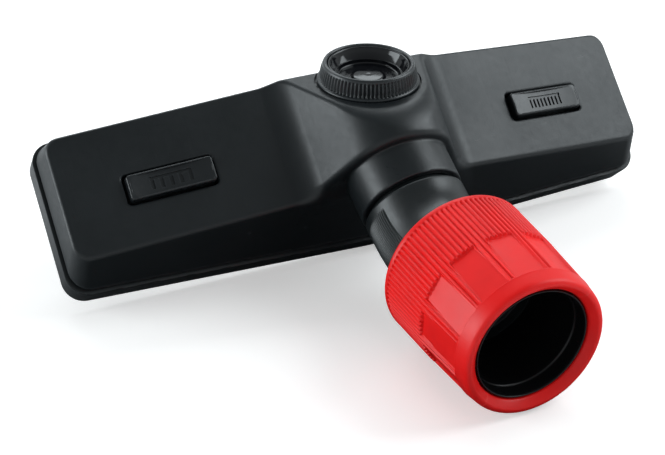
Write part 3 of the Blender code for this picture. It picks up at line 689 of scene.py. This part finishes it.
# label, side along X, bars in the mark, pins in a row, pin radius
BUTTONS = [("left", -1, 5, 6, 1.1), ("right", 1, 9, 12, 0.75)]
for label, side, bars, columns, radius in BUTTONS:
    body = label + "_button_set"
    place = Matrix.Translation((side * BUTTON_X, BUTTON_Y, 0))
    high = (16.6, 5.6, BUTTON_WING + 5.6)
    shape = contour(cap(side, bars), (-16.6, -5.6, 9.0), high, cell=0.2)
    node = label + "_button"
    piece(label + "_button_cap", shape, BUTTON, body, node, place, sharp=30)
    low, high = (-32.2, -6.3, 0.5), (32.2, 6.3, 12.8)
    shape = contour(rake(columns, radius), low, high, cell=0.27)
    piece(label + "_comb_rake", shape, COMB, body, label + "_comb", place)

# ---------------------------------------------------------------- regulator knob
KNOB_RIBS, RIB_STEPS, RIB_DEPTH = 76, 10, 0.68
# radius, height, share of the groove's depth
KNOB_OUTLINE = [
    (18.15, -0.9, 0), (18.6, -0.8, 0), (18.85, -0.55, 0), (18.9, -0.2, 0), (18.9, 0.25, 0),
    (18.82, 0.55, 0), (18.6, 0.75, 0), (18.35, 0.85, 0), (18.2, 0.95, 0.3), (18.1, 1.15, 1.0),
    (17.95, 2.4, 1.0), (17.7, 3.8, 1.0), (17.4, 5.0, 1.0), (17.25, 5.5, 1.0), (17.15, 5.75, 0.8),
    (17.05, 5.95, 0.25), (16.95, 6.15, 0), (16.8, 6.6, 0), (16.65, 6.9, 0), (16.4, 7.1, 0),
    (16.1, 7.2, 0), (15.8, 7.2, 0), (15.5, 7.1, 0), (15.3, 6.9, 0), (15.2, 6.6, 0),
    (15.2, 0.0, 0), (15.1, 0.0, 0), (1.85, 0.0, 0), (1.8, -0.1, 0), (1.8, -6.2, 0),
    (4.6, -6.2, 0), (4.6, -0.9, 0),
]
# radius, height
CUP_PROFILE = [
    (14.95, 0.3), (14.95, 6.55), (14.55, 6.62), (14.3, 6.4), (13.6, 4.9), (12.35, 2.75),
    (12.15, 2.75), (11.95, 3.0), (11.75, 2.95), (11.65, 2.6), (11.4, 1.5), (11.1, 1.25),
    (6.5, 1.1), (6.2, 1.25), (5.6, 1.9), (5.0, 2.05), (2.0, 2.2), (0.02, 2.25), (0.02, 0.3),
]

segments = KNOB_RIBS * RIB_STEPS
phase = np.cos(2 * np.pi * np.arange(segments) / RIB_STEPS)
groove = (0.5 - 0.5 * phase) ** 1.1
rows = [(r - RIB_DEPTH * amount * groove, h) for r, h, amount in KNOB_OUTLINE]
shape = spin(rows, segments)
piece("knob_ribbed", shape, KNOB, "regulator", "regulator_knob", KNOB_FRAME, 50)
shape = spin(rounded(CUP_PROFILE, 0.28), 144)
piece("cup_polished", shape, CUP, "regulator", "knob_cup", KNOB_FRAME, 45)

# ---------------------------------------------------------------- elbow
TUBE_R, BORE_R = 19.0, 14.6
REACH = 9.5  # from the axes' crossing to each end of the bend
ELBOW_SEGMENTS, FLUTES, FLUTE_DEPTH = 840, 120, 0.42

# BEND is where the neck's and outlet's axes cross.
gap = OUTLET_POINT - NECK_END
det = NECK_AXIS.y * OUTLET_AXIS.z - NECK_AXIS.z * OUTLET_AXIS.y
BEND = NECK_END + NECK_AXIS * ((gap.y * OUTLET_AXIS.z - gap.z * OUTLET_AXIS.y) / det)
TURN = math.acos(NECK_AXIS.dot(OUTLET_AXIS))
BEND_START = (BEND - NECK_END).dot(NECK_AXIS) - REACH
BEND_STOP = (BEND - OUTLET_POINT).dot(OUTLET_AXIS) + REACH


def on_neck(run):
    return NECK_END + NECK_AXIS * run, NECK_AXIS


def on_outlet(run):
    return OUTLET_POINT + OUTLET_AXIS * run, OUTLET_AXIS


def on_bend(part):
    """(centre, axis) at a part, 0 to 1, of the bend from neck to outlet."""
    radius = REACH / math.tan(TURN / 2)
    inward = (OUTLET_AXIS - NECK_AXIS * NECK_AXIS.dot(OUTLET_AXIS)).normalized()
    centre = BEND - NECK_AXIS * REACH + inward * radius
    angle = TURN * part
    return (
        centre - inward * (radius * math.cos(angle)) + NECK_AXIS * (radius * math.sin(angle)),
        NECK_AXIS * math.cos(angle) + inward * math.sin(angle),
    )


theta = np.degrees(2 * np.pi * np.arange(ELBOW_SEGMENTS) / ELBOW_SEGMENTS)
flute = 0.5 - 0.5 * np.cos(np.radians(theta) * FLUTES)


def patch(angle):
    return smooth(150, 152, angle) * (1 - smooth(228, 230, angle))


def tube(amount):
    """The tube's radius, sunk by amount in a fluted grip patch on each flank."""
    flanks = np.maximum(patch(theta), patch((180 - theta) % 360))
    return TUBE_R - FLUTE_DEPTH * amount * flanks * (0.25 + 0.75 * flute)


# distance along the neck's axis, radius
SPIGOT = [
    (-16.0, 16.1), (-15.8, 16.4), (-15.4, 16.6), (-13.1, 16.6), (-13.0, 16.5), (-12.95, 15.7),
    (-10.75, 15.7), (-10.7, 16.5), (-10.6, 16.6), (-6.6, 16.6), (-6.5, 16.5), (-6.45, 15.3),
    (-4.55, 15.3), (-4.5, 16.5), (-4.4, 16.6), (1.6, 16.6), (1.85, 16.65), (1.95, 16.9),
    (2.0, 17.4), (2.0, 18.2), (2.1, 18.6), (2.35, 18.85), (2.7, 18.97),
]
# distance along the outlet's axis, radius: over the flange and back inside to the bore
SOCKET = [
    (48.4, 19.0), (48.6, 19.1), (48.7, 19.4), (48.7, 23.0), (48.8, 23.3), (49.0, 23.4),
    (50.2, 23.4), (50.4, 23.3), (50.5, 23.0), (50.5, 21.6), (50.6, 21.3), (50.8, 21.2),
    (62.3, 21.2), (62.7, 21.0), (62.95, 20.7), (63.0, 20.3), (63.0, 19.9), (62.9, 19.6),
    (62.6, 19.48), (56.8, 19.3), (56.55, 19.1), (56.5, 18.6), (56.5, 15.3), (56.4, 14.9),
    (56.1, 14.65), (55.6, BORE_R),
]

rings = [(*on_neck(run), r) for run, r in SPIGOT]
for i in range(10):
    run = 3.2 + (BEND_START - 3.2) * i / 9
    rings.append((*on_neck(run), tube(float(smooth(5.0, 6.2, run)))))
for i in range(1, 13):
    rings.append((*on_bend(i / 12), tube(1.0)))
for i in range(1, 11):
    run = BEND_STOP + (46.2 - BEND_STOP) * i / 10
    rings.append((*on_outlet(run), tube(1.0 - float(smooth(45.2, 46.0, run)))))
rings += [(*on_outlet(run), r) for run, r in SOCKET]
for i in range(1, 7):
    rings.append((*on_outlet(55.6 + (BEND_STOP - 55.6) * i / 7), BORE_R))
for i in range(13):
    rings.append((*on_bend(1 - i / 12), BORE_R))
for run in (BEND_START * 0.6, BEND_START * 0.2, -5.0, -11.0, -15.4):
    rings.append((*on_neck(run), BORE_R))
rings += [(*on_neck(-15.8), 14.75), (*on_neck(-16.0), 15.1)]
shape = sweep(rings, ELBOW_SEGMENTS)
piece("elbow_fluted", shape, ELBOW, "elbow", "elbow_tube", sharp=40)

# radius, height
LIP_PROFILE = [
    (15.4, 57.0), (18.9, 57.0), (18.9, 60.2), (18.2, 60.2), (17.6, 58.6), (15.4, 58.4),
]
LINER_PROFILE = [
    (20.5, 66.0), (22.6, 65.6), (22.6, 63.4), (19.5, 63.4), (19.25, 66.0), (19.2, 87.6),
    (19.32, 88.1), (19.7, 88.5), (19.82, 89.2), (19.85, 93.0), (20.05, 93.75), (20.4, 93.9),
    (20.65, 93.5), (20.68, 93.0), (20.6, 88.0),
]
SEAL_R, SEAL_HEIGHT, SEAL_CORD = 16.0, -5.5, 0.6  # cord's circle, its height, cord radius

shape = spin(rounded(LIP_PROFILE, 0.3), 128)
piece("hose_lip_seal", shape, RUBBER, "elbow", "hose_seal", RING_FRAME)
shape = spin(rounded(LINER_PROFILE, 0.3), 200)
piece("liner_sleeve", shape, LINER, "elbow", "hose_liner", RING_FRAME)
cord = [
    (SEAL_R + SEAL_CORD * math.cos(t), SEAL_HEIGHT + SEAL_CORD * math.sin(t))
    for t in 2 * np.pi * np.arange(14) / 14
]
shape = spin(cord, 96)
piece("swivel_o_ring", shape, RUBBER, "elbow", "neck_seal_ring", NECK_FRAME)

# ---------------------------------------------------------------- clamp ring
PANELS, RING_RIBS, RING_SEGMENTS = 12, 96, 1440
PANEL_STEP = 360.0 / PANELS
swing = 360.0 * np.arange(RING_SEGMENTS) / RING_SEGMENTS - 1.2 + PANEL_STEP / 2
swing = swing % PANEL_STEP - PANEL_STEP / 2  # degrees from the nearest panel's middle
rib = (0.5 + 0.5 * np.cos(np.radians(swing) * RING_RIBS)) ** 1.6 * 0.75


def ring_radius(run):
    """The ring's radius all round: ribbed, with flat panels sunk in its outer part."""
    base = np.interp(run, (44.6, 46.4, 68.3, 89.6), (28.35, 28.3, 27.7, 26.45))
    ribs = float(smooth(46.5, 47.0, run) * (1 - smooth(88.9, 89.6, run)))
    wall = base - ribs * rib
    deep = float(smooth(68.35, 68.85, run) * (1 - smooth(89.1, 89.8, run)))
    half = float(np.interp(run, (68.5, 89.6), (9.9, 12.0)))  # panel's half width in degrees
    panel = 1 - smooth(half - 0.1, half + 0.55, np.abs(swing))
    facet = (base - float(np.interp(run, (68.5, 89.6), (1.35, 1.3)))) / np.cos(
        np.radians(np.clip(swing, -13, 13))
    )
    return wall * (1 - deep * panel) + facet * (deep * panel)


# radius, height: the rounded foot, then from the ribs' end over the rim and down inside
RING_FOOT = [
    (27.5, 44.6), (27.85, 44.62), (28.15, 44.75), (28.32, 45.0), (28.38, 45.3), (28.36, 46.2),
]
RING_REST = [
    (26.42, 90.0), (26.3, 90.7), (26.12, 92.2), (25.9, 93.8), (25.78, 94.6), (25.62, 95.15),
    (25.35, 95.65), (24.95, 96.02), (24.45, 96.22), (23.95, 96.28), (23.6, 96.22),
    (23.35, 96.05), (22.6, 95.35), (21.75, 94.5), (21.4, 94.1), (21.2, 93.7), (21.12, 93.2),
    (21.1, 92.0), (21.2, 91.65), (21.4, 91.6), (23.8, 91.6), (23.8, 48.2), (19.9, 48.2),
    (19.7, 48.0), (19.7, 44.9), (19.9, 44.6), (23.0, 44.6),
]
# from, to, stations: closer where the ribs and panels begin and end
RING_SPANS = [
    (46.4, 47.1, 6), (49, 67.6, 9), (68.2, 69.0, 11), (70.5, 87.5, 10), (88.7, 89.9, 13),
]
WEDGE_PROFILE = [(21.6, 72.0), (23.4, 72.0), (23.4, 82.0), (21.9, 82.0)]

ribbed = [(ring_radius(float(h)), float(h)) for span in RING_SPANS for h in np.linspace(*span)]
shape = spin(RING_FOOT + ribbed + RING_REST, RING_SEGMENTS)
piece("ring_panelled", shape, RED, "clamp", "clamp_ring", RING_FRAME, sharp=42)
shape = spin(rounded(WEDGE_PROFILE, 0.3), 128)
piece("wedge_sleeve", shape, GREY, "wedge", "wedge_ring", RING_FRAME)

# ---------------------------------------------------------------- CAD nodes that keep their shape
KEPT = {
    "neck_clip": SCREW,
    "throat_bush": GREY,
    "valve_rotor": GREY,
    "friction_washer": SPRING,
    "regulator_screw": SCREW,
    "left_button_spring_a": SPRING,
    "left_button_spring_b": SPRING,
    "right_button_spring_a": SPRING,
    "right_button_spring_b": SPRING,
}
for name, finish in KEPT.items():
    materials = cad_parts[name].data.materials
    materials.clear()
    materials.append(finish)

# ---------------------------------------------------------------- floor
mesh = bpy.data.meshes.new("floor")
mesh.from_pydata([(-4, -4, 0), (4, -4, 0), (4, 4, 0), (-4, 4, 0)], [], [(0, 1, 2, 3)])
floor = bpy.data.objects.new("floor", mesh)
SCENE.collection.objects.link(floor)
# The camera sees a glowing white floor; other rays see it dark round the head, a painted shadow
# standing in for the shade under the head, and white beyond.
look = Nodes(bpy.data.materials.new("floor_white"))
seen = look.add("ShaderNodeLightPath", "Is Camera Ray", {})
oval = {0: look.mapped(scale=(6.2, 9.0, 1.0))}
apart = look.add("ShaderNodeVectorMath", "Value", oval, operation="LENGTH")
clear_of_painted_shadow = look.remap(apart, span=(0.75, 1.25), to=(0, 1))
# painted shadow: for rays other than the camera's, the floor is dark in an oval round the head and
# white outside it
bounce_painted_shade = look.mix(clear_of_painted_shadow, (0.07, 0.075, 0.08), (0.88, 0.88, 0.885))
mottle = look.noise(scale=3, detail=2, rough=0.5)
shown = look.mix(mottle, (0.90, 0.875, 0.86), (0.93, 0.90, 0.88))
look.fill(look.shader, {
    "Base Color": look.mix(seen, bounce_painted_shade, shown),
    "Roughness": 0.6,
    "Emission Color": (1, 1, 1, 1),
    "Emission Strength": look.math("MULTIPLY", seen, 0.42),
})
mesh.materials.append(look.owner)

# ---------------------------------------------------------------- light
WORLD_SIDE, WORLD_TOP = 0.75, 0.26  # strength low at the sides and overhead
SKY = Nodes(bpy.data.worlds.new("studio"), shader="Background", space="Generated")
SCENE.world = SKY.owner
height = SKY.add("ShaderNodeSeparateXYZ", "Z", {0: SKY.coord})
strength = SKY.remap(height, span=(0.15, 0.75), to=(WORLD_SIDE, WORLD_TOP))
SKY.fill(SKY.shader, {"Strength": strength, "Color": (0.91, 0.975, 1.0, 1)})

AIM = Vector((0, 0, 0.03))  # metres


def softbox(name, direction, distance, size, power):
    """A rectangular light at a distance in metres from AIM, facing it."""
    light = bpy.data.lights.new(name, "AREA")
    light.shape = "RECTANGLE"
    light.size, light.size_y = size
    light.energy = power
    light.color = (0.89, 0.965, 1.0)
    obj = bpy.data.objects.new(name, light)
    outward = Vector(direction).normalized()
    obj.location = AIM + outward * distance
    obj.rotation_mode = "QUATERNION"
    obj.rotation_quaternion = outward.to_track_quat("Z", "Y")
    SCENE.collection.objects.link(obj)


softbox("right_box", direction=(0.76, -0.12, 0.64), distance=1.1, size=(0.75, 0.75), power=7.5)
softbox("back_box", direction=(0.15, 0.74, 0.66), distance=1.2, size=(1.0, 0.5), power=5)
softbox("left_box", direction=(-0.92, 0.36, 0.16), distance=1.2, size=(0.75, 0.7), power=10)

# ---------------------------------------------------------------- camera
VIEW_POINT = Vector((-242.72, -177.64, 549.47))
VIEW_AXES = (  # the camera's own X, Y and Z in the head's axes
    Vector((0.90178, -0.30418, 0.30703)),
    Vector((0.20847, 0.92842, 0.30752)),
    Vector((-0.37859, -0.21331, 0.90065)),
)
SENSOR_WIDTH, FOCAL_LENGTH = 36.0, 85.766617
CLIP_START, CLIP_END = 0.02, 50.0  # metres

camera_data = bpy.data.cameras.new("camera")
camera = bpy.data.objects.new("camera", camera_data)
SCENE.collection.objects.link(camera)
turned = Matrix([laid(axis) for axis in VIEW_AXES]).transposed().to_4x4()
camera.matrix_world = Matrix.Translation(POSE @ VIEW_POINT) @ turned
camera_data.sensor_width = SENSOR_WIDTH
camera_data.lens = FOCAL_LENGTH
camera_data.clip_start, camera_data.clip_end = CLIP_START, CLIP_END
SCENE.camera = camera
SCENE.view_settings.view_transform = "Standard"
